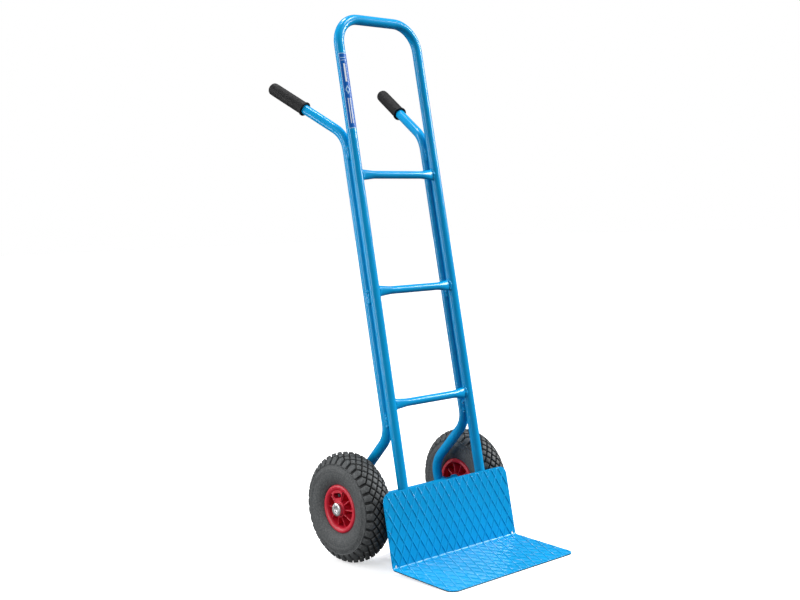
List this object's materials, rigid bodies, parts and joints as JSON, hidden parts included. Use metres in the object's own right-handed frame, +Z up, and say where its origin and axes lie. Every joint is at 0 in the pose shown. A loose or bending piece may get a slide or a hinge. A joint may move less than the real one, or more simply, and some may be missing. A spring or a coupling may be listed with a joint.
{
  "type": "hand truck",
  "caption": "Welded steel tube hand truck with a tread-plate toe, rubber handle grips and pneumatic wheels that spin on a through axle.",
  "frame": {"origin": "on the floor, in the middle of the whole truck's box seen from above, with the truck standing on its tyres and on the toe plate's front edge", "axes": "+Z up, +X across the truck along the axle to the side of the wheel on the right when seen from the front, -Y towards the toe plate and the load"},
  "size_m": [0.471, 0.6212, 1.3091],
  "materials": {
    "blue_paint": "semi-gloss powder coat on welded steel",
    "zinc_steel": "zinc-plated steel",
    "grip_rubber": "matt ribbed rubber",
    "label_film": "printed plastic film",
    "tyre_rubber": "dry moulded rubber",
    "butyl_rubber": "smooth butyl rubber",
    "red_plastic": "moulded plastic with a soft sheen",
    "black_nylon": "moulded nylon"
  },
  "bodies": {
    "frame": {"hoop_tube": "blue_paint", "left_rear_tube": "blue_paint", "right_rear_tube": "blue_paint", "lower_rung": "blue_paint", "middle_rung": "blue_paint", "upper_rung": "blue_paint", "toe_plate": "blue_paint", "axle_tube": "blue_paint", "axle_collars": "blue_paint", "tube_welds": "blue_paint", "rung_welds": "blue_paint", "plate_welds": "blue_paint", "axle_welds": "blue_paint", "tail_welds": "blue_paint", "axle": "zinc_steel", "axle_washers": "zinc_steel", "left_hub_cap": "zinc_steel", "right_hub_cap": "zinc_steel", "left_grip": "grip_rubber", "right_grip": "grip_rubber", "leg_label": "label_film"},
    "left_wheel": {"left_tyre": "tyre_rubber", "left_inner_tube": "butyl_rubber", "left_outer_rim_half": "red_plastic", "left_inner_rim_half": "red_plastic", "left_rim_screws": "zinc_steel", "left_outer_bearing": "black_nylon", "left_inner_bearing": "black_nylon", "left_valve_stem": "butyl_rubber", "left_valve_cap": "black_nylon"},
    "right_wheel": {"right_tyre": "tyre_rubber", "right_inner_tube": "butyl_rubber", "right_outer_rim_half": "red_plastic", "right_inner_rim_half": "red_plastic", "right_rim_screws": "zinc_steel", "right_outer_bearing": "black_nylon", "right_inner_bearing": "black_nylon", "right_valve_stem": "butyl_rubber", "right_valve_cap": "black_nylon"}
  },
  "joints": [
    {"name": "left_wheel_spin", "type": "hinge", "parent": "frame", "child": "left_wheel", "pos_m": [-0.194, 0.04186, 0.13], "axis": [1, 0, 0], "continuous": true},
    {"name": "right_wheel_spin", "type": "hinge", "parent": "frame", "child": "right_wheel", "pos_m": [0.194, 0.04186, 0.13], "axis": [1, 0, 0], "continuous": true}
  ]
}
